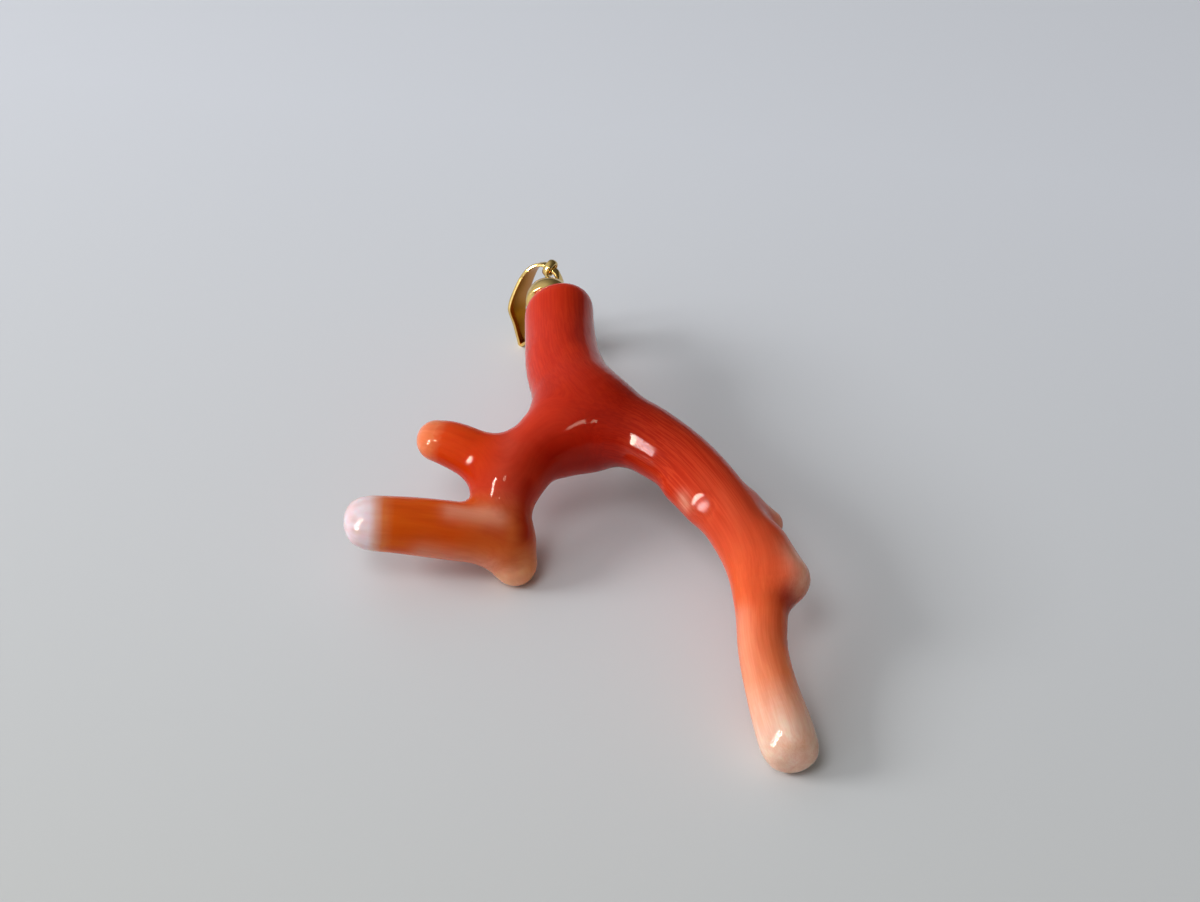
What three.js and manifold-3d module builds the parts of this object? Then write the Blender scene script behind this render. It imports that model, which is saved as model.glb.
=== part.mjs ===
// Polished red coral branch with a gold bail: one forked branch that lies on a table on its knob,
// its right tip and the point of the bail. Millimetres, +Z up, +Y from the branch tips to the bail.
import * as THREE from 'three';
import { mergeVertices } from 'three/addons/utils/BufferGeometryUtils.js';
import Module from 'manifold-3d';

const wasm = await Module();
wasm.setup();

// Centrelines of the branch, each point as x, y, z and the radius there.
const TRUNK = [[-1.6, 21.7, 8.6, 3.25], [-1.4, 17.4, 8.5, 3.3], [-0.8, 12.8, 8.7, 3.55], [0.6, 7.7, 9.2, 3.6]];
const RIGHT = [
  [0.4, 6.7, 9.1, 3.2], [3.4, 4.6, 9.3, 3.2], [6.2, 3.4, 9.3, 3.05], [10.3, -0.2, 8.8, 2.8],
  [13.6, -5.0, 7.9, 2.7], [15.5, -9.0, 6.7, 2.6], [15.9, -13.4, 5.7, 2.25], [15.9, -17.2, 4.7, 2.1],
  [16.5, -20.6, 3.7, 2.2], [17.2, -23.9, 2.8, 2.4], [17.8, -26.4, 2.1, 2.3],
];
const LEFT = [
  [1.2, 5.8, 9.3, 3.5], [-2.7, 3.5, 8.2, 2.95], [-5.3, 1.0, 6.6, 2.6],
  [-6.2, -1.8, 4.8, 2.2], [-5.8, -3.9, 3.2, 2.1], [-5.2, -4.9, 1.7, 1.9],
];
const ARM = [
  [-6.3, -3.7, 3.9, 2.3], [-9.1, -3.7, 4.5, 2.6], [-12.6, -3.7, 5.15, 2.6],
  [-15.6, -3.8, 5.7, 2.5], [-19.2, -4.0, 6.2, 2.4],
];
const STUB = [[-6.1, 1.1, 6.9, 2.4], [-8.6, 2.9, 7.4, 2.25], [-10.7, 4.0, 7.7, 2.1], [-12.2, 4.5, 7.8, 1.85]];
const BUMP = [[16.4, -8.1, 6.9, 2.2], [18.0, -11.1, 6.7, 2.15]];
const BUD = [[15.0, -3.7, 7.3, 1.7], [17.0, -4.2, 6.2, 1.25]];
const MOUND = [[9.3, -2.4, 8.7, 1.2], [10.8, -3.7, 8.4, 1.2]];

// Ground-off ends of the branch: a point on each end and the way it faces, and how far it is rounded.
const TRUNK_END = { at: [-1.6, 22.1, 8.6], facing: [-0.12, 1, 0], round: 1.1 };
const RIGHT_END = { at: [18.1, -27.4, 2.2], facing: [0.2, -1, 0], round: 1.6 };
const ARM_END = { at: [-20.4, -3.95, 6.4], facing: [-1, -0.1, 0.1], round: 3.2 };

// Widths of the fillets where branches and bumps grow together.
const FORK_FILLET = 2.4;
const LEFT_FILLET = 3.5;
const ARM_FILLET = 2.2;
const STUB_FILLET = 2.5;
const BUMP_FILLET = 1.6;
const BUD_FILLET = 1.2;
const MOUND_FILLET = 1.4;

const SURFACE_STEP = 0.88;
const SKIN_LOW = [-22, -30, -2];
const SKIN_HIGH = [23, 25, 15];
const JOINT_GAP = 0.3;

// Where the branch is parted into its limbs: a point in each parting plane and the way the limb leaves.
const RIGHT_PARTING = { at: [4.2, 4.5, 9.3], facing: [0.83, -0.55, 0] };
const LEFT_PARTING = { at: [-3.2, 3.1, 8.0], facing: [-0.75, -0.55, -0.4] };
const ARM_REGION_LOW = [-24, -9, -1];
const ARM_REGION_HIGH = [-9.9, -0.3, 11];

// Peg, cap and ring in the trunk's end.
const PEG_X = -2.3;
const PEG_Z = 8.6;
const PEG_RADIUS = 0.75;
const PEG_LENGTH = 4.4;
const HOLE_RADIUS = 1.05;
const HOLE_DEPTH = 5;
const CAP_RADIUS = 1.7;
const CAP_RIM = 0.3;
const CAP_HEIGHT = 2.4;
const CAP_BASE_Y = 22.45;
const RING_RADIUS = 0.98;
const RING_DROP = 0.15;
const WIRE_RADIUS = 0.25;

// Bail: a tapering strip bent into a closed loop around the ring.
const BAIL_PIVOT = [-2.5, 26.6, 9.3];
const BAIL_POINT = [-5.4, 26.0, -0.05];
const BAIL_ACROSS = [0.84, -0.54, 0];
const STRIP_THICKNESS = 0.5;
const BAIL_OUTLINE = [
  [0, 0.25], [0.9, 0.1], [1.6, -0.4], [2.05, -1.2], [2.3, -2.3], [2.4, -3.8], [2.4, -5.4], [2.15, -6.5],
  [1.45, -7.6], [0.9, -8.6], [0.45, -9.4], [0.2, -9.9],
];
const STRIP_HALF_WIDTHS = [[0.8, 0.32], [-0.4, 0.38], [-2.4, 0.75], [-4.2, 1.0], [-6.2, 1.15], [-7.8, 0.8], [-10.2, 0.4]];

// Moves the origin to the table under the middle of the whole object.
const TO_ORIGIN = [0, -0.5, 0];

const CORAL_RED = 0xc23a1e;
const CORAL_ORANGE = 0xd9683a;
const GOLD = 0xd9a93c;

function vector(p) {
  return new THREE.Vector3(p[0], p[1], p[2]);
}

// Closely spaced stations along a centreline, with the radius at each.
function stations(points) {
  const path = new THREE.CatmullRomCurve3(points.map(vector), false, 'catmullrom', 0.5);
  const radii = new THREE.CatmullRomCurve3(
    points.map((p) => new THREE.Vector3(p[3], 0, 0)), false, 'catmullrom', 0.5);
  const count = (points.length - 1) * 4;
  const list = [];
  for (let i = 0; i <= count; i += 1) {
    list.push({ at: path.getPoint(i / count), radius: radii.getPoint(i / count).x });
  }
  return list;
}

// Distance from a point to the skin of a tapering limb, negative inside.
function limbDistance(p, limb) {
  let best = Infinity;
  for (let i = 0; i + 1 < limb.length; i += 1) {
    const a = limb[i].at;
    const b = limb[i + 1].at;
    const dx = b.x - a.x;
    const dy = b.y - a.y;
    const dz = b.z - a.z;
    const along = ((p.x - a.x) * dx + (p.y - a.y) * dy + (p.z - a.z) * dz) / (dx * dx + dy * dy + dz * dz);
    const t = Math.min(1, Math.max(0, along));
    const away = Math.hypot(p.x - a.x - t * dx, p.y - a.y - t * dy, p.z - a.z - t * dz);
    best = Math.min(best, away - limb[i].radius - t * (limb[i + 1].radius - limb[i].radius));
  }
  return best;
}

function grownTogether(a, b, fillet) {
  const h = Math.max(fillet - Math.abs(a - b), 0) / fillet;
  return Math.min(a, b) - h * h * fillet / 4;
}

function groundOff(distance, p, end) {
  const face = vector(end.facing).normalize();
  const beyond = face.dot(p.clone().sub(vector(end.at)));
  return -grownTogether(-distance, -beyond, end.round);
}

const trunkLimb = stations(TRUNK);
const rightLimb = stations(RIGHT);
const leftLimb = stations(LEFT);
const armLimb = stations(ARM);
const stubLimb = stations(STUB);
const bumpLimb = stations(BUMP);
const budLimb = stations(BUD);
const moundLimb = stations(MOUND);

function coralDistance(p) {
  const trunk = groundOff(limbDistance(p, trunkLimb), p, TRUNK_END);
  let right = groundOff(limbDistance(p, rightLimb), p, RIGHT_END);
  right = grownTogether(right, limbDistance(p, bumpLimb), BUMP_FILLET);
  right = grownTogether(right, limbDistance(p, budLimb), BUD_FILLET);
  right = grownTogether(right, limbDistance(p, moundLimb), MOUND_FILLET);
  const arm = groundOff(limbDistance(p, armLimb), p, ARM_END);
  let left = grownTogether(limbDistance(p, leftLimb), arm, ARM_FILLET);
  left = grownTogether(left, limbDistance(p, stubLimb), STUB_FILLET);
  return grownTogether(grownTogether(trunk, right, FORK_FILLET), left, LEFT_FILLET);
}

// Draws a point onto the skin along the steepest way.
function drawnToSkin(p) {
  const h = 0.02;
  for (let i = 0; i < 4; i += 1) {
    const d = coralDistance(p);
    const slope = new THREE.Vector3(
      coralDistance(new THREE.Vector3(p.x + h, p.y, p.z)) - coralDistance(new THREE.Vector3(p.x - h, p.y, p.z)),
      coralDistance(new THREE.Vector3(p.x, p.y + h, p.z)) - coralDistance(new THREE.Vector3(p.x, p.y - h, p.z)),
      coralDistance(new THREE.Vector3(p.x, p.y, p.z + h)) - coralDistance(new THREE.Vector3(p.x, p.y, p.z - h)),
    ).divideScalar(2 * h);
    p.addScaledVector(slope, -d / Math.max(slope.lengthSq(), 1e-6));
  }
  return p;
}

// Skin of the whole branch as one closed mesh: a vertex in every cell the skin passes through,
// and a four-sided face around every cell edge that it crosses.
function coralSkin() {
  const size = [0, 1, 2].map((i) => Math.ceil((SKIN_HIGH[i] - SKIN_LOW[i]) / SURFACE_STEP) + 1);
  const corner = (i, j, k) => (i * size[1] + j) * size[2] + k;
  const place = (i, j, k) => new THREE.Vector3(
    SKIN_LOW[0] + i * SURFACE_STEP, SKIN_LOW[1] + j * SURFACE_STEP, SKIN_LOW[2] + k * SURFACE_STEP);
  const depth = new Float64Array(size[0] * size[1] * size[2]);
  for (let i = 0; i < size[0]; i += 1) {
    for (let j = 0; j < size[1]; j += 1) {
      for (let k = 0; k < size[2]; k += 1) {
        depth[corner(i, j, k)] = coralDistance(place(i, j, k));
      }
    }
  }
  const points = [];
  const pointOf = new Int32Array(depth.length).fill(-1);
  for (let i = 0; i + 1 < size[0]; i += 1) {
    for (let j = 0; j + 1 < size[1]; j += 1) {
      for (let k = 0; k + 1 < size[2]; k += 1) {
        const middle = new THREE.Vector3();
        let crossings = 0;
        for (let axis = 0; axis < 3; axis += 1) {
          for (let side = 0; side < 4; side += 1) {
            const from = [i, j, k];
            from[(axis + 1) % 3] += side % 2;
            from[(axis + 2) % 3] += side >> 1;
            const to = from.slice();
            to[axis] += 1;
            const a = depth[corner(...from)];
            const b = depth[corner(...to)];
            if ((a < 0) !== (b < 0)) {
              middle.add(place(...from).lerp(place(...to), a / (a - b)));
              crossings += 1;
            }
          }
        }
        if (crossings > 0) {
          pointOf[corner(i, j, k)] = points.length;
          points.push(drawnToSkin(middle.divideScalar(crossings)));
        }
      }
    }
  }
  const index = [];
  for (let i = 1; i + 1 < size[0]; i += 1) {
    for (let j = 1; j + 1 < size[1]; j += 1) {
      for (let k = 1; k + 1 < size[2]; k += 1) {
        for (let axis = 0; axis < 3; axis += 1) {
          const to = [i, j, k];
          to[axis] += 1;
          const inside = depth[corner(i, j, k)] < 0;
          if (inside !== (depth[corner(...to)] < 0)) {
            const quad = [[1, 1], [0, 1], [0, 0], [1, 0]].map(([u, v]) => {
              const cell = [i, j, k];
              cell[(axis + 1) % 3] -= u;
              cell[(axis + 2) % 3] -= v;
              return pointOf[corner(...cell)];
            });
            if (!inside) {
              quad.reverse();
            }
            const [a, b, c, d] = quad;
            if (points[a].distanceTo(points[c]) < points[b].distanceTo(points[d])) {
              index.push(a, b, c, a, c, d);
            } else {
              index.push(a, b, d, b, c, d);
            }
          }
        }
      }
    }
  }
  const geometry = new THREE.BufferGeometry().setFromPoints(points);
  geometry.setIndex(index);
  return geometry;
}

function solidOf(geometry) {
  const bare = geometry.clone();
  bare.deleteAttribute('normal');
  bare.deleteAttribute('uv');
  const merged = mergeVertices(bare, 1e-4);
  return new wasm.Manifold(new wasm.Mesh({
    numProp: 3,
    vertProperties: new Float32Array(merged.attributes.position.array),
    triVerts: new Uint32Array(merged.index.array),
  }));
}

function geometryOf(solid) {
  const mesh = solid.getMesh();
  const geometry = new THREE.BufferGeometry();
  geometry.setAttribute('position', new THREE.BufferAttribute(new Float32Array(mesh.vertProperties), 3));
  geometry.setIndex(new THREE.BufferAttribute(new Uint32Array(mesh.triVerts), 1));
  geometry.computeVertexNormals();
  return geometry;
}

// Large block on the limb's side of a parting plane, shifted by half the gap there.
function beyondPlane(parting, shift) {
  const face = vector(parting.facing).normalize();
  const block = new THREE.BoxGeometry(120, 120, 60);
  block.translate(0, 0, 30 + shift);
  block.applyQuaternion(new THREE.Quaternion().setFromUnitVectors(new THREE.Vector3(0, 0, 1), face));
  block.translate(...parting.at);
  return solidOf(block);
}

function blockBetween(low, high, margin) {
  const size = [0, 1, 2].map((i) => high[i] - low[i] + 2 * margin);
  const block = new THREE.BoxGeometry(...size);
  block.translate(...[0, 1, 2].map((i) => (high[i] + low[i]) / 2));
  return solidOf(block);
}

function coralLimbs() {
  const table = blockBetween([-60, -60, -20], [60, 60, 0], 0);
  const branch = solidOf(coralSkin()).subtract(table);
  const right = branch.intersect(beyondPlane(RIGHT_PARTING, JOINT_GAP / 2));
  const rest = branch.subtract(beyondPlane(RIGHT_PARTING, -JOINT_GAP / 2));
  const leftSide = rest.intersect(beyondPlane(LEFT_PARTING, JOINT_GAP / 2));
  const arm = leftSide.intersect(blockBetween(ARM_REGION_LOW, ARM_REGION_HIGH, 0));
  const left = leftSide.subtract(blockBetween(ARM_REGION_LOW, ARM_REGION_HIGH, JOINT_GAP));
  const hole = new THREE.CylinderGeometry(HOLE_RADIUS, HOLE_RADIUS, HOLE_DEPTH + 2, 24);
  hole.translate(PEG_X, TRUNK_END.at[1] - HOLE_DEPTH / 2 + 1, PEG_Z);
  const trunk = rest.subtract(beyondPlane(LEFT_PARTING, -JOINT_GAP / 2)).subtract(solidOf(hole));
  return { trunk, right, left, arm };
}

// Frame of the bail: across its loop, up to its top, and out of its opening towards the branch.
function bailFrame() {
  const up = vector(BAIL_PIVOT).sub(vector(BAIL_POINT)).normalize();
  const across = vector(BAIL_ACROSS);
  across.addScaledVector(up, -across.dot(up)).normalize();
  const out = across.clone().cross(up);
  return new THREE.Matrix4().makeBasis(across, up, out).setPosition(vector(BAIL_PIVOT));
}

function mirrored(points) {
  const other = points.filter((p) => p[0] > 0).map((p) => [-p[0], p[1]]);
  return points.concat(other.reverse());
}

function shapeOf(points) {
  return new THREE.Shape(points.map((p) => new THREE.Vector2(p[0], p[1])));
}

function bailSolid() {
  const outline = new THREE.CatmullRomCurve3(BAIL_OUTLINE.map((p) => new THREE.Vector3(p[0], p[1], 0)));
  const outer = outline.getPoints(26).map((p) => [p.x, p.y]);
  const inner = [];
  for (let i = 0; i < outer.length; i += 1) {
    const before = outer[Math.max(i - 1, 0)];
    const after = outer[Math.min(i + 1, outer.length - 1)];
    const run = Math.hypot(after[0] - before[0], after[1] - before[1]);
    const x = outer[i][0] + STRIP_THICKNESS * (after[1] - before[1]) / run;
    const y = outer[i][1] - STRIP_THICKNESS * (after[0] - before[0]) / run;
    if (x > 0.12) {
      inner.push([x, y]);
    }
  }
  inner.unshift([0, BAIL_OUTLINE[0][1] - STRIP_THICKNESS]);
  const loop = shapeOf(mirrored(outer));
  loop.holes.push(shapeOf(mirrored(inner).reverse()));
  const band = new THREE.ExtrudeGeometry(loop, { depth: 5, bevelEnabled: false });
  band.translate(0, 0, -2.5);
  const widths = new THREE.CatmullRomCurve3(STRIP_HALF_WIDTHS.map((p) => new THREE.Vector3(p[1], p[0], 0)));
  const leaf = widths.getPoints(24).map((p) => [p.x, p.y]);
  const plate = new THREE.ExtrudeGeometry(shapeOf(mirrored(leaf)), { depth: 8, bevelEnabled: false });
  plate.translate(0, 0, -4);
  plate.rotateY(Math.PI / 2);
  const frame = bailFrame();
  const bail = solidOf(band.applyMatrix4(frame)).intersect(solidOf(plate.applyMatrix4(frame)));
  return bail.subtract(blockBetween([-60, -60, -20], [60, 60, 0], 0));
}

function eyePegSolid() {
  const frame = bailFrame();
  const ring = new THREE.TorusGeometry(RING_RADIUS, WIRE_RADIUS, 10, 32);
  ring.rotateY(Math.PI / 2);
  ring.translate(0, -RING_DROP, 0);
  ring.applyMatrix4(frame);
  const dome = [new THREE.Vector2(0, 0), new THREE.Vector2(CAP_RADIUS, 0), new THREE.Vector2(CAP_RADIUS, CAP_RIM)];
  for (let i = 1; i < 6; i += 1) {
    const turn = (i / 6) * Math.PI / 2;
    const height = CAP_RIM + (CAP_HEIGHT - CAP_RIM) * Math.sin(turn);
    dome.push(new THREE.Vector2(CAP_RADIUS * Math.cos(turn), height));
  }
  dome.push(new THREE.Vector2(0, CAP_HEIGHT));
  const cap = new THREE.LatheGeometry(dome, 28);
  cap.translate(PEG_X, CAP_BASE_Y, PEG_Z);
  const peg = new THREE.CylinderGeometry(PEG_RADIUS, PEG_RADIUS, PEG_LENGTH + 0.8, 20);
  peg.translate(PEG_X, CAP_BASE_Y - PEG_LENGTH / 2 + 0.4, PEG_Z);
  const capTop = new THREE.Vector3(PEG_X, CAP_BASE_Y + CAP_HEIGHT - 0.4, PEG_Z);
  const toCap = capTop.clone().applyMatrix4(frame.clone().invert());
  toCap.x = 0;
  toCap.y += RING_DROP;
  const onRing = toCap.setLength(RING_RADIUS);
  onRing.y -= RING_DROP;
  onRing.applyMatrix4(frame);
  const bend = new THREE.Vector3(PEG_X - 0.2, CAP_BASE_Y + CAP_HEIGHT + 0.2, PEG_Z + 0.1);
  const wire = new THREE.CatmullRomCurve3([capTop, bend, onRing]);
  const round = new THREE.Shape();
  round.absarc(0, 0, WIRE_RADIUS, 0, Math.PI * 2);
  const stem = new THREE.ExtrudeGeometry(round, { steps: 10, curveSegments: 6, extrudePath: wire });
  return solidOf(cap).add(solidOf(peg)).add(solidOf(stem)).add(solidOf(ring));
}

function meshOf(name, solid, color, roughness, metalness) {
  const material = new THREE.MeshStandardMaterial({ color, roughness, metalness });
  const mesh = new THREE.Mesh(geometryOf(solid).translate(...TO_ORIGIN), material);
  mesh.name = name;
  return mesh;
}

const limbs = coralLimbs();
const coral = new THREE.Group();
coral.name = 'coral_branch';
coral.add(meshOf('trunk', limbs.trunk, CORAL_RED, 0.2, 0));
coral.add(meshOf('right_branch', limbs.right, CORAL_RED, 0.2, 0));
coral.add(meshOf('left_branch', limbs.left, CORAL_RED, 0.2, 0));
coral.add(meshOf('front_arm', limbs.arm, CORAL_ORANGE, 0.2, 0));
coral.add(meshOf('eye_peg', eyePegSolid(), GOLD, 0.2, 1));
coral.add(meshOf('bail', bailSolid(), GOLD, 0.2, 1));

export default coral;
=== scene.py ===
import math

import bpy
import numpy as np
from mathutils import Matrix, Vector


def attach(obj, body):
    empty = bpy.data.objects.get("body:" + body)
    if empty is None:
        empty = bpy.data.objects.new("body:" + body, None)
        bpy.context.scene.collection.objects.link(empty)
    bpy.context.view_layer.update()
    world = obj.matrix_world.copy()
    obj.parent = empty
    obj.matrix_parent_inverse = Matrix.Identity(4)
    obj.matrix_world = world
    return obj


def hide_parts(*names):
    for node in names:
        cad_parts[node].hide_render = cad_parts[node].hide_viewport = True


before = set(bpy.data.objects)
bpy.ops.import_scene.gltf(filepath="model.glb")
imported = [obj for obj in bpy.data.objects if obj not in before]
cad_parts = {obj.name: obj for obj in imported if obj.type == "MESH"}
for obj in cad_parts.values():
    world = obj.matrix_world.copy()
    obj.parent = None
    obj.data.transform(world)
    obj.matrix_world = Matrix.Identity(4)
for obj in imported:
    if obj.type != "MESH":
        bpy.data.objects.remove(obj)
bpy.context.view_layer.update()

MM = 0.001

# Centrelines of the branch in millimetres: x, y, z and the radius there.
MAIN = [
    (-1.6, 21.2, 8.6, 3.25), (-1.4, 16.9, 8.5, 3.3), (-0.85, 12.1, 8.7, 3.6), (0.8, 7.4, 9.0, 3.85),
    (3.8, 4.5, 9.2, 3.3), (6.6, 2.7, 9.2, 3.05), (10.3, -0.7, 8.8, 2.8),
    (13.6, -5.5, 7.9, 2.7), (15.5, -9.5, 6.7, 2.6), (15.9, -13.9, 5.7, 2.25), (15.9, -17.7, 4.7, 2.1),
    (16.5, -21.1, 3.7, 2.2), (17.35, -24.4, 2.8, 2.4), (18.0, -26.9, 2.2, 2.35),
]
LEFT = [
    (1.6, 5.7, 8.6, 3.0), (-2.7, 3.1, 8.1, 2.95), (-5.3, 0.5, 6.6, 2.6),
    (-6.2, -2.3, 4.8, 2.2), (-5.8, -4.4, 3.2, 2.1), (-5.2, -5.4, 1.7, 1.9),
]
ARM = [
    (-6.3, -4.2, 3.9, 2.3), (-9.1, -4.2, 4.5, 2.6), (-12.6, -4.2, 5.15, 2.6),
    (-15.6, -4.3, 5.7, 2.5), (-19.2, -4.5, 6.2, 2.4),
]
STUB = [(-6.1, 0.6, 6.9, 2.4), (-8.6, 2.1, 7.7, 2.25), (-10.7, 3.0, 8.2, 2.1), (-12.2, 3.4, 8.4, 1.85)]
BUMP = [(16.4, -8.6, 6.9, 2.2), (18.0, -11.6, 6.7, 2.15)]
BUD = [(15.0, -4.2, 7.3, 1.7), (17.0, -4.7, 6.2, 1.25)]
MOUND = [(9.4, -2.4, 8.5, 1.1), (10.9, -4.2, 8.3, 1.1)]
WEB = [(-1.2, 3.6, 7.1, 2.25), (1.2, 4.2, 7.1, 2.3)]

# Ground-off ends: a point on the end, the way it faces, and how far it is rounded.
TRUNK_END = ((-1.6, 22.1, 8.6), (-0.18, 1.0, 0.04), 2.0)
RIGHT_END = ((18.1, -27.6, 2.2), (0.1, -1.0, 0.0), 2.0)
ARM_END = ((-20.4, -4.45, 6.4), (-1.0, -0.1, 0.1), 3.2)

# Small polished flats: a point on the flat, the way it faces, and how far it reaches.
FLATS = [
    ((16.32, -26.50, 3.98), (-0.45, -0.59, 0.67), 1.3),
    ((-18.58, -5.88, 7.66), (-0.34, -0.68, 0.66), 1.6),
    ((11.15, -5.92, 9.63), (-0.43, -0.65, 0.63), 1.0),
]
FLAT_ROUNDING = 0.3

# How softly each limb grows into the rest.
BUMP_FILLET, BUD_FILLET, MOUND_FILLET = 1.6, 1.2, 2.0
ARM_FILLET, STUB_FILLET, FORK_FILLET, WEB_FILLET = 2.2, 2.5, 3.4, 1.5

# Paler and deeper patches in millimetres, partly the coral's own colour and partly painted light and shade:
# from, to, reach, strength.
PALE_AND_PAINTED_LIGHT_SPOTS = [
    ((19.3, -10.3, 8.6), (19.8, -12.8, 7.6), 1.5, 0.75),
    ((9.4, -4.7, 9.3), (9.7, -5.0, 9.0), 0.7, 0.45),
    ((-13.9, 3.8, 8.6), (-12.6, 5.0, 9.3), 1.1, 0.6),
    ((-5.8, -7.3, 2.0), (-5.2, -7.4, 1.6), 1.3, 0.5),
    ((-10.6, -4.3, 7.4), (-6.6, -4.4, 6.8), 0.9, 0.4),
    # Painted glow along the arm's lower front edge, where light shines through it.
    ((-13.0, -6.9, 4.6), (-7.3, -6.9, 3.0), 1.2, 0.35),
    ((17.3, -4.2, 7.6), (18.0, -5.2, 6.6), 0.9, 0.5),
    # Painted glow and sheen along the left edge of the lower right branch, the side facing the light.
    ((14.4, -15.5, 5.9), (15.4, -23.5, 4.2), 1.2, 0.4),
    # Painted sheen: the bright sky reflected on the top of the left branch.
    ((-5.6, 1.2, 9.3), (-6.2, -3.2, 6.9), 1.0, 0.07),
]
DEEP_AND_PAINTED_SHADE_SPOTS = [
    # Deeper red under the fork, partly painted shade on the face of the arch.
    ((-1.7, 0.8, 8.9), (2.6, 1.6, 8.4), 3.0, 0.95),
    # Painted shade in the crease on the inner side of the arch.
    ((-4.0, -1.5, 8.0), (-4.2, -5.0, 5.2), 0.9, 0.8),
    # Painted shade in the hollow under the bump.
    ((18.0, -14.0, 7.2), (18.6, -14.4, 6.4), 1.3, 0.8),
    ((0.8, 20.0, 10.9), (0.4, 13.0, 12.0), 0.8, 0.5),
    ((-7.4, -5.6, 6.5), (-6.4, -5.8, 6.0), 0.9, 0.35),
    # Painted shade on the side away from the light, below the bump.
    ((17.2, -13.2, 7.6), (17.6, -17.5, 5.6), 1.1, 0.25),
]

# Hole for the peg in the trunk's end.
PEG_X, PEG_Z = -2.3, 8.6
HOLE_RADIUS, HOLE_FLOOR_Y = 1.05, 16.6

# Grid in which the skin is found: its cell, its corners, the cells from point to point of the rough
# first pass, the cells around the skin that are measured finely, and how the points settle onto the skin.
CELL = 0.3
SKIN_LOW, SKIN_HIGH = (-22.0, -30.5, -2.0), (23.0, 24.5, 15.5)
ROUGH_STEP, NEAR_CELLS = 4, 5
SLOPE_STEP, LEAST_SLOPE, SETTLING_PASSES = 0.02, 0.2, 3

# Points per span of the limbs, and of the lines that the colours follow; how far those colours blend.
LIMB_STEPS, COLOUR_STEPS = 4, 6
COLOUR_BLEND = 0.45


def curve(points, per_span):
    """Smooth line through the points, with the radius carried along."""
    p = np.array(points, float)
    if len(p) == 2:
        return p
    e = np.vstack([2 * p[0] - p[1], p, 2 * p[-1] - p[-2]])
    t = (np.arange(per_span) / per_span)[:, None]
    spans = []
    for a, b, c, d in zip(e, e[1:], e[2:], e[3:]):
        spans.append(0.5 * (2 * b + (c - a) * t + (2 * a - 5 * b + 4 * c - d) * t ** 2
                            + (3 * b - a - 3 * c + d) * t ** 3))
    return np.vstack(spans + [p[-1:]])


LIMBS = {name: curve(points, LIMB_STEPS) for name, points in dict(
    main=MAIN, left=LEFT, arm=ARM, stub=STUB, bump=BUMP, bud=BUD, mound=MOUND, web=WEB).items()}


def limb_distance(p, limb):
    """Signed distance to one limb, a chain of rounded cones."""
    best = np.full(len(p), 1e9)
    for a, b in zip(limb[:-1], limb[1:]):
        ab = b[:3] - a[:3]
        t = np.clip((p - a[:3]) @ ab / (ab @ ab), 0, 1)
        away = np.linalg.norm(p - a[:3] - t[:, None] * ab, axis=1)
        np.minimum(best, away - a[3] - t * (b[3] - a[3]), out=best)
    return best


def grown_together(a, b, fillet):
    """Union of two shapes with a soft fillet between them."""
    h = np.maximum(fillet - np.abs(a - b), 0) / fillet
    return np.minimum(a, b) - h * h * fillet / 4


def ground_off(distance, p, end):
    """Shape with one end taken off flat, and the edge rounded over."""
    at, facing, rounding = end
    face = np.array(facing) / np.linalg.norm(facing)
    return -grown_together(-distance, -((p - np.array(at)) @ face), rounding)


def coral_distance(p):
    """Signed distance to the skin of the whole branch, in millimetres."""
    d = {name: limb_distance(p, limb) for name, limb in LIMBS.items()}
    skin = ground_off(ground_off(d["main"], p, TRUNK_END), p, RIGHT_END)
    skin = grown_together(skin, d["bump"], BUMP_FILLET)
    skin = grown_together(skin, d["bud"], BUD_FILLET)
    skin = grown_together(skin, d["mound"], MOUND_FILLET)
    left = grown_together(d["left"], ground_off(d["arm"], p, ARM_END), ARM_FILLET)
    left = grown_together(left, d["stub"], STUB_FILLET)
    skin = grown_together(skin, left, FORK_FILLET)
    skin = grown_together(skin, d["web"], WEB_FILLET)
    for at, facing, reach in FLATS:
        face = np.array(facing) / np.linalg.norm(facing)
        off = p - np.array(at)
        beyond = np.minimum(off @ face, reach - np.linalg.norm(off, axis=1))
        skin = -grown_together(-skin, -beyond, FLAT_ROUNDING)
    hole = np.hypot(p[:, 0] - PEG_X, p[:, 2] - PEG_Z) - HOLE_RADIUS
    hole = np.maximum(hole, HOLE_FLOOR_Y - p[:, 1])
    return np.maximum(np.maximum(skin, -hole), -p[:, 2])


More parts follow.
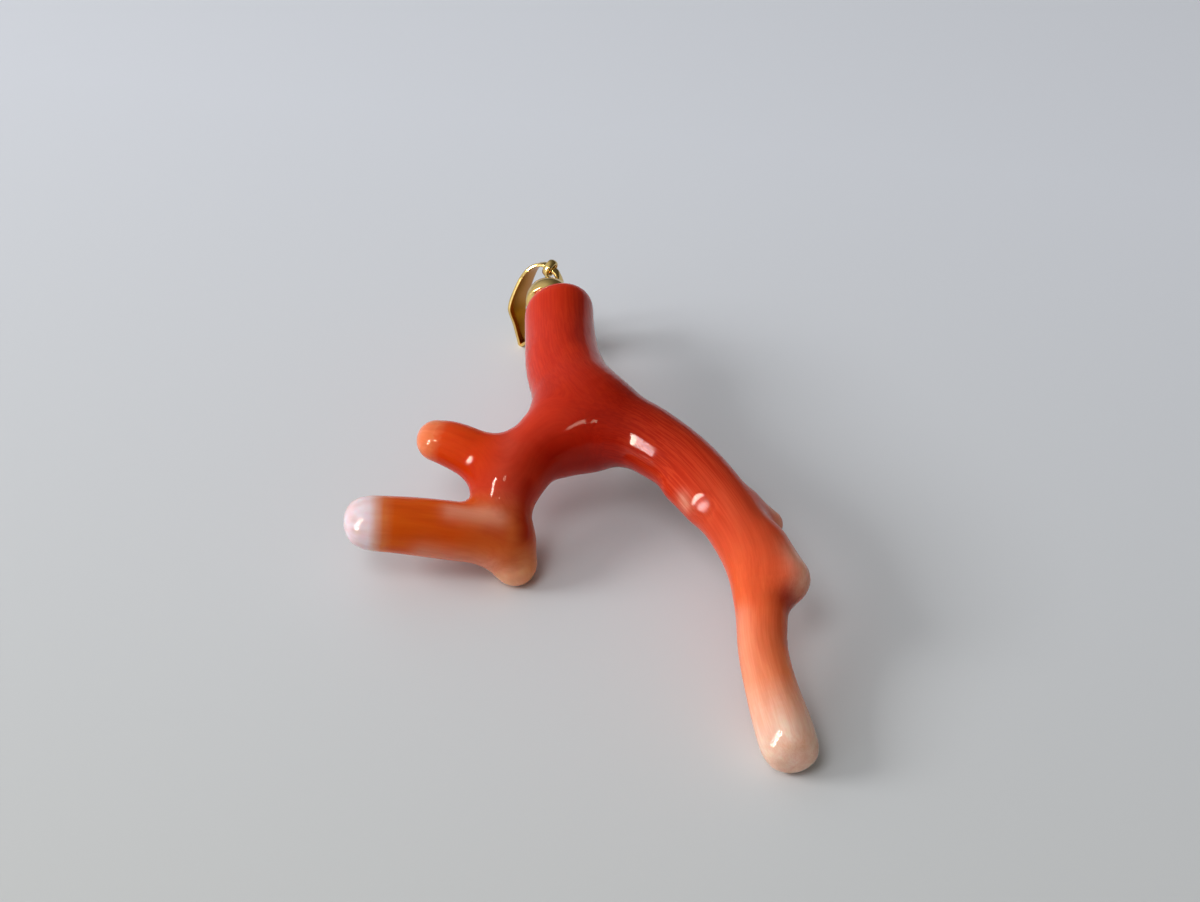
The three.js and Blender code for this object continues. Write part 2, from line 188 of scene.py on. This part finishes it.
def surface_net(distance, low, high, cell):
    """Quads of the zero surface: one vertex in each cell the skin passes through."""
    low = np.array(low, float)
    n = np.ceil((np.array(high) - low) / cell / ROUGH_STEP).astype(int) * ROUGH_STEP + 1
    axes = [low[i] + cell * np.arange(n[i]) for i in range(3)]
    coarse = np.stack(np.meshgrid(*[a[::ROUGH_STEP] for a in axes], indexing="ij"), -1)
    rough = distance(coarse.reshape(-1, 3)).reshape(coarse.shape[:3])
    for axis in range(3):
        rough = np.repeat(rough, ROUGH_STEP, axis)
    f = rough[1:n[0] + 1, 1:n[1] + 1, 1:n[2] + 1].copy()
    grid = np.stack(np.meshgrid(*axes, indexing="ij"), -1)
    near = np.abs(f) < NEAR_CELLS * cell
    f[near] = distance(grid[near])
    inside = f < 0
    total = np.zeros((*(n - 1), 3))
    count = np.zeros(n - 1)
    for axis in range(3):
        u, v = [i for i in range(3) if i != axis]
        for du in (0, 1):
            for dv in (0, 1):
                start = np.zeros(3, int)
                start[u], start[v] = du, dv
                end = start.copy()
                end[axis] = 1
                a = f[tuple(slice(s, s + m - 1) for s, m in zip(start, n))]
                b = f[tuple(slice(s, s + m - 1) for s, m in zip(end, n))]
                hit = (a < 0) != (b < 0)
                where = np.zeros((hit.sum(), 3)) + start
                where[:, axis] += a[hit] / (a[hit] - b[hit])
                total[hit] += where
                count[hit] += 1
    used = count > 0
    number = np.full(n - 1, -1)
    number[used] = np.arange(used.sum())
    points = low + cell * (np.argwhere(used) + total[used] / count[used][:, None])
    quads = []
    for axis in range(3):
        u, v = (axis + 1) % 3, (axis + 2) % 3
        first = np.take(inside, range(n[axis] - 1), axis)
        edges = np.argwhere(first != np.take(inside, range(1, n[axis]), axis))
        around = []
        for du, dv in ((1, 1), (0, 1), (0, 0), (1, 0)):
            cells = edges.copy()
            cells[:, u] -= du
            cells[:, v] -= dv
            around.append(number[tuple(cells.T)])
        q = np.stack(around, 1)
        out = first[tuple(edges.T)]
        q[~out] = q[~out][:, ::-1]
        quads.append(q)
    step = SLOPE_STEP * np.eye(3)
    for _ in range(SETTLING_PASSES):
        d = distance(points)
        slope = np.stack([distance(points + s) - distance(points - s) for s in step], 1) / (2 * SLOPE_STEP)
        points -= d[:, None] * slope / np.maximum((slope ** 2).sum(1), LEAST_SLOPE)[:, None]
    return points, np.vstack(quads)


def nearest_on(p, line):
    """For each point: gap to the limb, length along its line, angle around it and distance from it.

    The length of the whole line comes last.
    """
    along = np.concatenate([[0], np.cumsum(np.linalg.norm(np.diff(line[:, :3], axis=0), axis=1))])
    best = np.full(len(p), 1e9)
    run = np.zeros(len(p))
    angle = np.zeros(len(p))
    reach = np.zeros(len(p))
    for i, (a, b) in enumerate(zip(line[:-1], line[1:])):
        ab = b[:3] - a[:3]
        length = np.linalg.norm(ab)
        free = (p - a[:3]) @ ab / length ** 2
        t = np.clip(free, 0, 1)
        off = p - a[:3] - t[:, None] * ab
        away = np.linalg.norm(off, axis=1)
        r = a[3] + t * (b[3] - a[3])
        closer = away - r < best
        side = np.cross(ab / length, (0, 0, 1))
        side /= np.linalg.norm(side)
        up = np.cross(side, ab / length)
        best[closer] = (away - r)[closer]
        reach[closer] = away[closer]
        shown = np.where(((i == 0) & (free < 0)) | ((i == len(line) - 2) & (free > 1)), free, t)
        run[closer] = (along[i] + shown * length)[closer]
        angle[closer] = np.arctan2(off @ side, off @ up)[closer]
    return best, run, angle, reach, along[-1]


def mesh_object(name, points_mm, faces):
    """Smooth mesh from points in millimetres."""
    mesh = bpy.data.meshes.new(name)
    mesh.from_pydata((np.asarray(points_mm) * MM).tolist(), [], [list(map(int, f)) for f in faces])
    mesh.polygons.foreach_set("use_smooth", [True] * len(mesh.polygons))
    mesh.update()
    obj = bpy.data.objects.new(name, mesh)
    bpy.context.scene.collection.objects.link(obj)
    return obj


def put_values(obj, name, values):
    """Values on the points of a mesh, for the materials to read: one number or one vector each."""
    kind, field = ("FLOAT_VECTOR", "vector") if np.ndim(values) == 2 else ("FLOAT", "value")
    attribute = obj.data.attributes.new(name, kind, "POINT")
    attribute.data.foreach_set(field, np.ravel(values).astype(np.float32))


def patches(p, spots):
    """Soft patches around short lines on the skin: each is start, end, reach and strength."""
    total = np.zeros(len(p))
    for start, end, reach, strength in spots:
        a, ab = np.array(start), np.subtract(end, start)
        t = np.clip((p - a) @ ab / max(ab @ ab, 1e-9), 0, 1)
        away = np.linalg.norm(p - a - t[:, None] * ab, axis=1)
        total = np.maximum(total, strength * np.exp(-(away / reach) ** 2))
    return total


def coral_piece():
    """The whole branch as one skin, with where each point lies on which limb."""
    points, quads = surface_net(coral_distance, SKIN_LOW, SKIN_HIGH, CELL)
    coral = mesh_object("coral_branch", points, quads)
    limbs = {"main": MAIN, "left": LEFT, "arm": ARM, "stub": STUB}
    lines = {name: curve(limb, COLOUR_STEPS) for name, limb in limbs.items()}
    found = {name: nearest_on(points, line) for name, line in lines.items()}
    gaps = np.stack([found[name][0] for name in lines], 1)
    weights = np.exp(-(gaps - gaps.min(1, keepdims=True)) / COLOUR_BLEND)
    weights /= weights.sum(1, keepdims=True)
    grain = np.zeros((len(points), 3))
    for column, name in enumerate(lines):
        _, run, angle, reach, length = found[name]
        put_values(coral, "on_" + name, weights[:, column])
        put_values(coral, "run_" + name, run / length)
        flow = np.stack([reach * np.cos(angle), reach * np.sin(angle), run], 1)
        grain += weights[:, column:column + 1] * flow
    put_values(coral, "grain", grain)
    # Pale patches, partly painted glow and sheen, and deep patches, partly painted shade.
    put_values(coral, "pale", patches(points, PALE_AND_PAINTED_LIGHT_SPOTS))
    put_values(coral, "deep_and_painted_shade", patches(points, DEEP_AND_PAINTED_SHADE_SPOTS))
    return coral


# Bail, in its own frame: across its loop, up to its top, out of its opening. The outline is its right half.
BAIL_PIVOT = np.array([-2.5, 26.1, 9.3])
BAIL_POINT = np.array([-5.4, 25.5, -0.05])
BAIL_ACROSS = np.array([0.84, -0.54, 0.0])
BAIL_OUTLINE = [
    (0, 0.25), (0.9, 0.1), (1.6, -0.4), (2.05, -1.2), (2.3, -2.3), (2.4, -3.8),
    (2.4, -5.4), (2.15, -6.5), (1.45, -7.6), (0.9, -8.6), (0.45, -9.4), (0.2, -9.9),
]
OUTLINE_STEPS, STRIP_STEPS = 8, 48
STRIP_THICKNESS = 0.34
STRIP_HALF_WIDTHS = [
    (0.8, 0.36), (-0.2, 0.40), (-1.2, 0.75), (-2.4, 1.0),
    (-4.2, 1.15), (-6.2, 1.2), (-7.8, 0.8), (-10.2, 0.4),
]
LOOP_TAPER = 0.19
INNER_LEAST_X, INNER_POINT_DROP, OUTER_POINT_DROP = 0.1, 0.2, 0.03
BEVEL_WIDTH, BEVEL_SEGMENTS, BEVEL_ANGLE = 0.08, 3, 50

# Eye: a domed cap on the trunk's end, the peg below it, and a wire stem and ring above it.
CAP_X, CAP_RADIUS, CAP_RIM, CAP_HEIGHT, CAP_BASE_Y = -2.55, 2.2, 0.3, 2.4, 21.95
CAP_BOTTOM, CAP_EDGE_Y, CAP_EDGE_INSET = -0.33, -0.22, 0.12
CAP_STEPS, CAP_TURNS = 12, 48
PEG_RADIUS, PEG_LENGTH, PEG_TOP, PEG_TURNS = 0.75, 4.4, 0.4, 24
RING_RADIUS, RING_DROP, WIRE_RADIUS = 0.70, 0.03, 0.19
RING_STEPS, RING_SIDES = 64, 20
STEM_SINK, STEM_BEND, STEM_STEPS, STEM_SIDES = 0.4, (-0.2, 0.2, 0.1), 10, 16


def bail_axes():
    """Rows: across the bail, up along it, out of its opening."""
    up = BAIL_PIVOT - BAIL_POINT
    up /= np.linalg.norm(up)
    across = BAIL_ACROSS - (BAIL_ACROSS @ up) * up
    across /= np.linalg.norm(across)
    return np.stack([across, up, np.cross(across, up)])


def resampled(points, count):
    """The same line with evenly spaced points."""
    points = np.array(points, float)
    run = np.concatenate([[0], np.cumsum(np.linalg.norm(np.diff(points, axis=0), axis=1))])
    stops = np.linspace(0, run[-1], count)
    return np.stack([np.interp(stops, run, points[:, i]) for i in range(points.shape[1])], 1)


def bail_piece():
    """Closed loop of gold strip: outer and inner faces, each with a near and a far edge."""
    outer = curve([(x, y, 0, 0) for x, y in BAIL_OUTLINE], OUTLINE_STEPS)[:, :2]
    run = np.gradient(outer, axis=0)
    run /= np.linalg.norm(run, axis=1, keepdims=True)
    inner = outer + STRIP_THICKNESS * np.stack([run[:, 1], -run[:, 0]], 1)
    inner = inner[inner[:, 0] > INNER_LEAST_X]
    inner_top = (0, BAIL_OUTLINE[0][1] - STRIP_THICKNESS)
    inner = np.vstack([[inner_top], inner, [(0, inner[-1][1] - INNER_POINT_DROP)]])
    outer = np.vstack([outer, [(0, outer[-1][1] - OUTER_POINT_DROP)]])
    widths = np.array(sorted(STRIP_HALF_WIDTHS))
    rings = []
    for side in (outer, inner):
        right = resampled(side, STRIP_STEPS)
        loop = np.vstack([right, (right * (-1, 1))[-2:0:-1]])
        wide = np.interp(loop[:, 1], widths[:, 0], widths[:, 1])
        rings.append(np.column_stack([loop, wide]))
        rings.append(np.column_stack([loop * (1 - LOOP_TAPER, 1), -wide]))
    points = np.vstack(rings) @ bail_axes() + BAIL_PIVOT
    points[:, 2] = np.maximum(points[:, 2], 0)
    m = len(rings[0])
    faces = []
    for i in range(m):
        j = (i + 1) % m
        faces.append((i, j, m + j, m + i))
        faces.append((2 * m + j, 2 * m + i, 3 * m + i, 3 * m + j))
        faces.append((j, i, 2 * m + i, 2 * m + j))
        faces.append((m + i, m + j, 3 * m + j, 3 * m + i))
    bail = mesh_object("gold_bail", points, faces)
    # Inner faces take the second material, the painted shade inside the loop.
    for face in bail.data.polygons:
        face.material_index = int(face.index % 4 == 1)  # the second of each four lies inside the loop
    bevel = bail.modifiers.new("soft_edges", "BEVEL")
    bevel.width = BEVEL_WIDTH * MM
    bevel.segments = BEVEL_SEGMENTS
    bevel.limit_method = "ANGLE"
    bevel.angle_limit = math.radians(BEVEL_ANGLE)
    return bail


def lathe(profile, turns, base):
    """Closed solid of revolution about +Y, from (radius, height) pairs that end on the axis."""
    points = [(0, profile[0][1], 0)]
    faces = []
    inside = profile[1:-1]
    for k in range(turns):
        a = 2 * math.pi * k / turns
        points += [(r * math.cos(a), y, r * math.sin(a)) for r, y in inside]
    points.append((0, profile[-1][1], 0))
    m = len(inside)
    last = len(points) - 1
    for k in range(turns):
        a, b = 1 + k * m, 1 + (k + 1) % turns * m
        faces.append((0, a, b))
        faces.append((last, b + m - 1, a + m - 1))
        faces += [(a + i, a + i + 1, b + i + 1, b + i) for i in range(m - 1)]
    return np.array(points) + np.array(base), faces


def sweep(path, radius, sides, closed):
    """Round wire along a path."""
    path = np.array(path, float)
    n = len(path)
    if closed:
        run = np.roll(path, -1, 0) - np.roll(path, 1, 0)
    else:
        run = np.gradient(path, axis=0)
    run /= np.linalg.norm(run, axis=1, keepdims=True)
    normal = np.cross(run[0], (0.3, 0.2, 0.9))
    points, faces = [], []
    for at, way in zip(path, run):
        normal = normal - (normal @ way) * way
        normal /= np.linalg.norm(normal)
        other = np.cross(way, normal)
        for k in range(sides):
            a = 2 * math.pi * k / sides
            points.append(at + radius * (math.cos(a) * normal + math.sin(a) * other))
    for i in range(n if closed else n - 1):
        for k in range(sides):
            a, b = i * sides, (i + 1) % n * sides
            k2 = (k + 1) % sides
            faces.append((a + k, a + k2, b + k2, b + k))
    if not closed:
        faces.append(tuple(range(sides))[::-1])
        faces.append(tuple((n - 1) * sides + k for k in range(sides)))
    return np.array(points), faces


def joined(parts):
    """Points and faces of several parts as one mesh."""
    points, faces, start = [], [], 0
    for p, f in parts:
        points.append(p)
        faces += [tuple(start + i for i in face) for face in f]
        start += len(p)
    return np.vstack(points), faces


def eye_piece():
    """Gold cap, peg, stem and ring; the wire of the ring is twice as wide across the bail."""
    axes = bail_axes()
    turns = np.linspace(0, 2 * math.pi, RING_STEPS, endpoint=False)
    ring = np.stack([0 * turns, RING_RADIUS * np.cos(turns) - RING_DROP, RING_RADIUS * np.sin(turns)], 1)
    ring = sweep(ring @ axes + BAIL_PIVOT, WIRE_RADIUS, RING_SIDES, True)
    middle = ring[0].mean(0)
    ring[0][:] += np.outer((ring[0] - middle) @ axes[0], axes[0])
    profile = [(0, CAP_BOTTOM), (CAP_RADIUS - CAP_EDGE_INSET, CAP_BOTTOM), (CAP_RADIUS, CAP_EDGE_Y),
               (CAP_RADIUS, CAP_RIM)]
    for i in range(1, CAP_STEPS):
        turn = i / CAP_STEPS * math.pi / 2
        profile.append((CAP_RADIUS * math.cos(turn), CAP_RIM + (CAP_HEIGHT - CAP_RIM) * math.sin(turn)))
    profile.append((0, CAP_HEIGHT))
    cap = lathe(profile, CAP_TURNS, (CAP_X, CAP_BASE_Y, PEG_Z))
    profile = [(0, -PEG_LENGTH), (PEG_RADIUS, -PEG_LENGTH), (PEG_RADIUS, PEG_TOP), (0, PEG_TOP)]
    peg = lathe(profile, PEG_TURNS, (PEG_X, CAP_BASE_Y, PEG_Z))
    cap_top = np.array([PEG_X, CAP_BASE_Y + CAP_HEIGHT - STEM_SINK, PEG_Z])
    to_cap = axes @ (cap_top - BAIL_PIVOT)
    to_cap[0] = 0
    to_cap[1] += RING_DROP
    on_ring = to_cap / np.linalg.norm(to_cap) * RING_RADIUS
    on_ring[1] -= RING_DROP
    bend = np.array([PEG_X, CAP_BASE_Y + CAP_HEIGHT, PEG_Z]) + STEM_BEND
    stem_line = curve([(*p, 0) for p in (cap_top, bend, on_ring @ axes + BAIL_PIVOT)], STEM_STEPS)[:, :3]
    stem = sweep(stem_line, WIRE_RADIUS, STEM_SIDES, False)
    return mesh_object("gold_eye", *joined([cap, peg, stem, ring]))


class Nodes:
    """Short way to add and join shader nodes."""

    def __init__(self, tree):
        self.tree = tree

    def add(self, kind, **values):
        node = self.tree.nodes.new(kind)
        for key, value in values.items():
            setattr(node, key, value)
        return node

    def link(self, output, to):
        self.tree.links.new(output, to)

    def attribute(self, name, vector=False):
        node = self.add("ShaderNodeAttribute", attribute_name=name)
        return node.outputs["Vector"] if vector else node.outputs["Fac"]

    def ramp(self, fac, stops):
        node = self.add("ShaderNodeValToRGB")
        ramp = node.color_ramp
        while len(ramp.elements) < len(stops):
            ramp.elements.new(0.5)
        for element, (place, colour) in zip(ramp.elements, stops):
            element.position = place
            element.color = (*colour, 1)
        self.link(fac, node.inputs["Fac"])
        return node.outputs["Color"]

    def math(self, operation, *values):
        node = self.add("ShaderNodeMath", operation=operation)
        for socket, value in zip(node.inputs, values):
            if isinstance(value, (int, float)):
                socket.default_value = value
            else:
                self.link(value, socket)
        return node.outputs[0]

    def mix(self, fac, a, b, blend="MIX"):
        node = self.add("ShaderNodeMix", data_type="RGBA", blend_type=blend)
        for socket, value in ((node.inputs[0], fac), (node.inputs[6], a), (node.inputs[7], b)):
            if isinstance(value, (int, float)):
                socket.default_value = value
            elif isinstance(value, tuple):
                socket.default_value = (*value, 1)
            else:
                self.link(value, socket)
        return node.outputs[2]

    def noise(self, vector, stretch, detail, roughness):
        place = self.add("ShaderNodeMapping")
        place.inputs["Scale"].default_value = stretch
        self.link(vector, place.inputs["Vector"])
        node = self.add("ShaderNodeTexNoise")
        node.inputs["Scale"].default_value = 1.0
        node.inputs["Detail"].default_value = detail
        node.inputs["Roughness"].default_value = roughness
        self.link(place.outputs["Vector"], node.inputs["Vector"])
        return node.outputs["Fac"]


def new_material(name):
    material = bpy.data.materials.new(name)
    material.use_nodes = True
    return material, Nodes(material.node_tree), material.node_tree.nodes["Principled BSDF"]


def coral_material():
    """Red to pale along each limb, then pale and deep patches (partly painted light and shade), clouds,
    streaks and fine lines along the grain.
    """
    material, n, shader = new_material("polished_coral")
    grain = n.attribute("grain", vector=True)
    main = n.ramp(n.attribute("run_main"), [
        (0.0, (0.60, 0.026, 0.004)), (0.2, (0.54, 0.021, 0.003)), (0.34, (0.34, 0.009, 0.001)),
        (0.5, (0.60, 0.040, 0.010)), (0.62, (0.72, 0.085, 0.028)), (0.76, (0.82, 0.125, 0.034)),
        (0.88, (0.90, 0.25, 0.10)), (0.97, (0.88, 0.56, 0.42)),
    ])
    left = n.ramp(n.attribute("run_left"), [
        (0.0, (0.44, 0.011, 0.002)), (0.35, (0.61, 0.038, 0.010)), (0.6, (0.63, 0.060, 0.023)),
        (0.8, (0.74, 0.15, 0.034)), (1.0, (0.84, 0.33, 0.12)),
    ])
    arm = n.ramp(n.attribute("run_arm"), [
        (0.0, (0.62, 0.13, 0.024)), (0.35, (0.64, 0.080, 0.004)), (0.74, (0.68, 0.095, 0.004)),
        (0.81, (0.72, 0.18, 0.05)), (0.86, (0.76, 0.40, 0.31)), (0.905, (0.80, 0.64, 0.66)),
    ])
    stub = n.ramp(n.attribute("run_stub"), [
        (0.0, (0.58, 0.036, 0.008)), (0.4, (0.66, 0.038, 0.002)), (0.85, (0.72, 0.06, 0.005)),
        (1.0, (0.82, 0.20, 0.07)),
    ])
    colour = n.mix(n.attribute("on_left"), main, left)
    colour = n.mix(n.attribute("on_arm"), colour, arm)
    colour = n.mix(n.attribute("on_stub"), colour, stub)
    # Deep red patches, partly painted shade under the fork, in a crease and under the bump.
    colour = n.mix(n.attribute("deep_and_painted_shade"), colour, (0.36, 0.006, 0.001))
    # Pale patches, partly painted glow and sheen on the sides that face the light.
    colour = n.mix(n.attribute("pale"), colour, (0.86, 0.48, 0.34))
    clouds = n.noise(grain, (0.9, 0.9, 0.16), 2.0, 0.5)
    cloud_colour = n.ramp(clouds, [
        (0.3, (0.86, 0.72, 0.62)), (0.52, (1, 1, 1)), (0.72, (1.06, 1.3, 1.35)),
    ])
    colour = n.mix(0.6, colour, cloud_colour, "MULTIPLY")
    streaks = n.noise(grain, (4.0, 4.0, 0.35), 2.0, 0.55)
    streak_colour = n.ramp(streaks, [
        (0.34, (0.88, 0.78, 0.76)), (0.5, (1, 1, 1)), (0.66, (1.06, 1.2, 1.24)),
    ])
    parts = n.add("ShaderNodeSeparateColor")
    n.link(colour, parts.inputs["Color"])
    strength = n.add("ShaderNodeMapRange")
    n.link(parts.outputs["Green"], strength.inputs["Value"])
    strength.inputs["From Min"].default_value = 0.05
    strength.inputs["From Max"].default_value = 0.4
    strength.inputs["To Min"].default_value = 0.3
    strength.inputs["To Max"].default_value = 0.08
    colour = n.mix(strength.outputs["Result"], colour, streak_colour, "MULTIPLY")
    lines = n.noise(grain, (8.0, 8.0, 0.16), 1.0, 0.5)
    line_colour = n.ramp(lines, [
        (0.40, (0.86, 0.62, 0.55)), (0.5, (1, 1, 1)), (0.60, (1.10, 1.4, 1.5)),
    ])
    line_strength = n.ramp(n.attribute("run_main"), [
        (0.0, (0.3,) * 3), (0.3, (0.5,) * 3), (0.4, (1.0,) * 3), (0.5, (0.8,) * 3), (0.62, (0.15,) * 3),
    ])
    line_strength = n.math("MULTIPLY", line_strength, n.attribute("on_main"))
    colour = n.mix(line_strength, colour, line_colour, "MULTIPLY")
    n.link(colour, shader.inputs["Base Color"])
    shader.inputs["Roughness"].default_value = 0.07
    shader.inputs["Specular IOR Level"].default_value = 0.14
    shader.inputs["Specular Tint"].default_value = (1.0, 0.85, 0.65, 1)
    shader.inputs["Subsurface Weight"].default_value = 0.55
    shader.inputs["Subsurface Radius"].default_value = (1.0, 0.32, 0.18)
    shader.inputs["Subsurface Scale"].default_value = 0.002
    shader.inputs["Sheen Weight"].default_value = 0.12
    shader.inputs["Sheen Roughness"].default_value = 0.35
    shader.inputs["Sheen Tint"].default_value = (1.0, 0.72, 0.66, 1)
    ridges = n.noise(grain, (4.2, 4.2, 0.05), 1.0, 0.4)
    bump = n.add("ShaderNodeBump")
    bump.inputs["Strength"].default_value = 0.015
    bump.inputs["Distance"].default_value = 0.0002
    n.link(ridges, bump.inputs["Height"])
    n.link(bump.outputs["Normal"], shader.inputs["Normal"])
    return material


def gold_material(name, colour, roughness):
    material, _, shader = new_material(name)
    shader.inputs["Base Color"].default_value = (*colour, 1)
    shader.inputs["Metallic"].default_value = 1.0
    shader.inputs["Roughness"].default_value = roughness
    return material


# Studio, in millimetres and watts.
FLOOR_HALF = 900
# Painted light on the table: darker and warmer near, brighter and bluer far off.
FLOOR_NEAR, FLOOR_FAR, FLOOR_TURN = (0.575, 0.58, 0.55), (0.76, 0.785, 0.835), -80
LIGHT_TARGET = (0, 0, 5)
PANEL_COLOUR = (0.98, 0.985, 1.0)
PANELS = [("left_panel", (-450, -10, 260), 180, 1.3), ("top_panel", (-150, -170, 500), 200, 0.66)]
WINDOW_AT, WINDOW_ALONG, PANE_SIZE = (-375, -275, 235), (0.55, -0.83, 0), (32, 300)
PANES = [("window_left", -17, 1.6, (0.85, 0.8, 1.0)), ("window_right", 17, 3.2, (0.99, 0.97, 1.0))]
LAMP_AT, LAMP_SIZE, LAMP_WATTS, LAMP_COLOUR = (-95, -330, 400), (70, 55), 0.2, (1.0, 0.95, 0.95)
BRIGHT_SIDE, SKY_STRENGTH = (-0.85, 0.1, 0.52), 0.78
LENS, SENSOR, ELEVATION, PIXELS_PER_MM, PHOTO_WIDTH = 65.0, 36, math.radians(45), 11.0, 1200
CAMERA_TARGET, CLIP_START = (2.3, 5.5, 5.0), 0.005


def floor_piece():
    """Pale table top with painted light: a little bluer and brighter far off than near."""
    corners = [(x * FLOOR_HALF, y * FLOOR_HALF, 0) for x, y in ((-1, -1), (1, -1), (1, 1), (-1, 1))]
    floor = mesh_object("floor", corners, [(0, 1, 2, 3)])
    material, n, shader = new_material("pale_table")
    place = n.add("ShaderNodeMapping")
    n.link(n.add("ShaderNodeTexCoord").outputs["Object"], place.inputs["Vector"])
    place.inputs["Rotation"].default_value = (0, 0, math.radians(FLOOR_TURN))
    place.inputs["Scale"].default_value = (5, 5, 5)
    place.inputs["Location"].default_value = (0.5, 0, 0)
    slope = n.add("ShaderNodeTexGradient")
    n.link(place.outputs["Vector"], slope.inputs["Vector"])
    colour = n.ramp(slope.outputs["Fac"], [(0.1, FLOOR_NEAR), (0.8, FLOOR_FAR)])
    n.link(colour, shader.inputs["Base Color"])
    shader.inputs["Roughness"].default_value = 0.6
    floor.data.materials.append(material)


def area_light(name, at_mm, size_mm, watts, colour):
    """Rectangle of light that faces the object."""
    data = bpy.data.lights.new(name, "AREA")
    data.shape = "RECTANGLE"
    data.size, data.size_y = size_mm[0] * MM, size_mm[1] * MM
    data.energy = watts
    data.color = colour
    lamp = bpy.data.objects.new(name, data)
    bpy.context.scene.collection.objects.link(lamp)
    lamp.location = Vector(at_mm) * MM
    way = Vector(LIGHT_TARGET) - Vector(at_mm)
    lamp.rotation_euler = way.to_track_quat("-Z", "Y").to_euler()
    return lamp


def camera():
    """Looks along +Y and down, as the photo does."""
    distance = LENS / SENSOR * PHOTO_WIDTH / PIXELS_PER_MM
    data = bpy.data.cameras.new("camera")
    data.lens = LENS
    data.sensor_width = SENSOR
    data.clip_start = CLIP_START
    eye = bpy.data.objects.new("camera", data)
    bpy.context.scene.collection.objects.link(eye)
    back = Vector((0, -math.cos(ELEVATION), math.sin(ELEVATION)))
    eye.location = (Vector(CAMERA_TARGET) + distance * back) * MM
    eye.rotation_euler = (math.pi / 2 - ELEVATION, 0, 0)
    bpy.context.scene.camera = eye


def studio():
    """A window of two panes at the left front, soft panels at the left and above, and a dim room."""
    world = bpy.data.worlds.new("studio")
    bpy.context.scene.world = world
    world.use_nodes = True
    n = Nodes(world.node_tree)
    background = world.node_tree.nodes["Background"]
    way = n.add("ShaderNodeTexCoord").outputs["Generated"]
    facing = n.add("ShaderNodeVectorMath", operation="DOT_PRODUCT")
    n.link(way, facing.inputs[0])
    facing.inputs[1].default_value = Vector(BRIGHT_SIDE).normalized()
    half = n.math("MULTIPLY_ADD", facing.outputs["Value"], 0.5, 0.5)
    sky = n.ramp(half, [
        (0.15, (0.10, 0.094, 0.080)), (0.55, (0.15, 0.143, 0.124)), (0.72, (0.42, 0.418, 0.405)),
        (0.85, (0.80, 0.82, 0.86)), (1.0, (0.97, 0.98, 1.0)),
    ])
    n.link(sky, background.inputs["Color"])
    background.inputs["Strength"].default_value = SKY_STRENGTH
    for panel, at, side, watts in PANELS:
        key = area_light(panel, at, (side, side), watts, PANEL_COLOUR)
        key.visible_glossy = False
    for pane, aside, watts, colour in PANES:
        at = Vector(WINDOW_AT) + aside * Vector(WINDOW_ALONG)
        glass = area_light(pane, at, PANE_SIZE, watts, colour)
        glass.visible_diffuse = False
    lamp = area_light("far_lamp", LAMP_AT, LAMP_SIZE, LAMP_WATTS, LAMP_COLOUR)
    lamp.visible_diffuse = False
    bpy.context.scene.view_settings.view_transform = "Standard"


coral = coral_piece()
coral.data.materials.append(coral_material())
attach(coral, "coral")
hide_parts("trunk", "right_branch", "left_branch", "front_arm")

gold = gold_material("polished_gold", (0.74, 0.52, 0.18), 0.13)
# Same gold, darker and redder on the inside of the loop: painted shade and gold reflected in gold.
gold_inside_shaded = gold_material("gold_inside_painted_shade", (0.52, 0.20, 0.008), 0.2)
eye = eye_piece()
eye.data.materials.append(gold)
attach(eye, "coral")
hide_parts("eye_peg")

bail = bail_piece()
bail.data.materials.append(gold)
bail.data.materials.append(gold_inside_shaded)
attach(bail, "bail")
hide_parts("bail")

floor_piece()
studio()
camera()
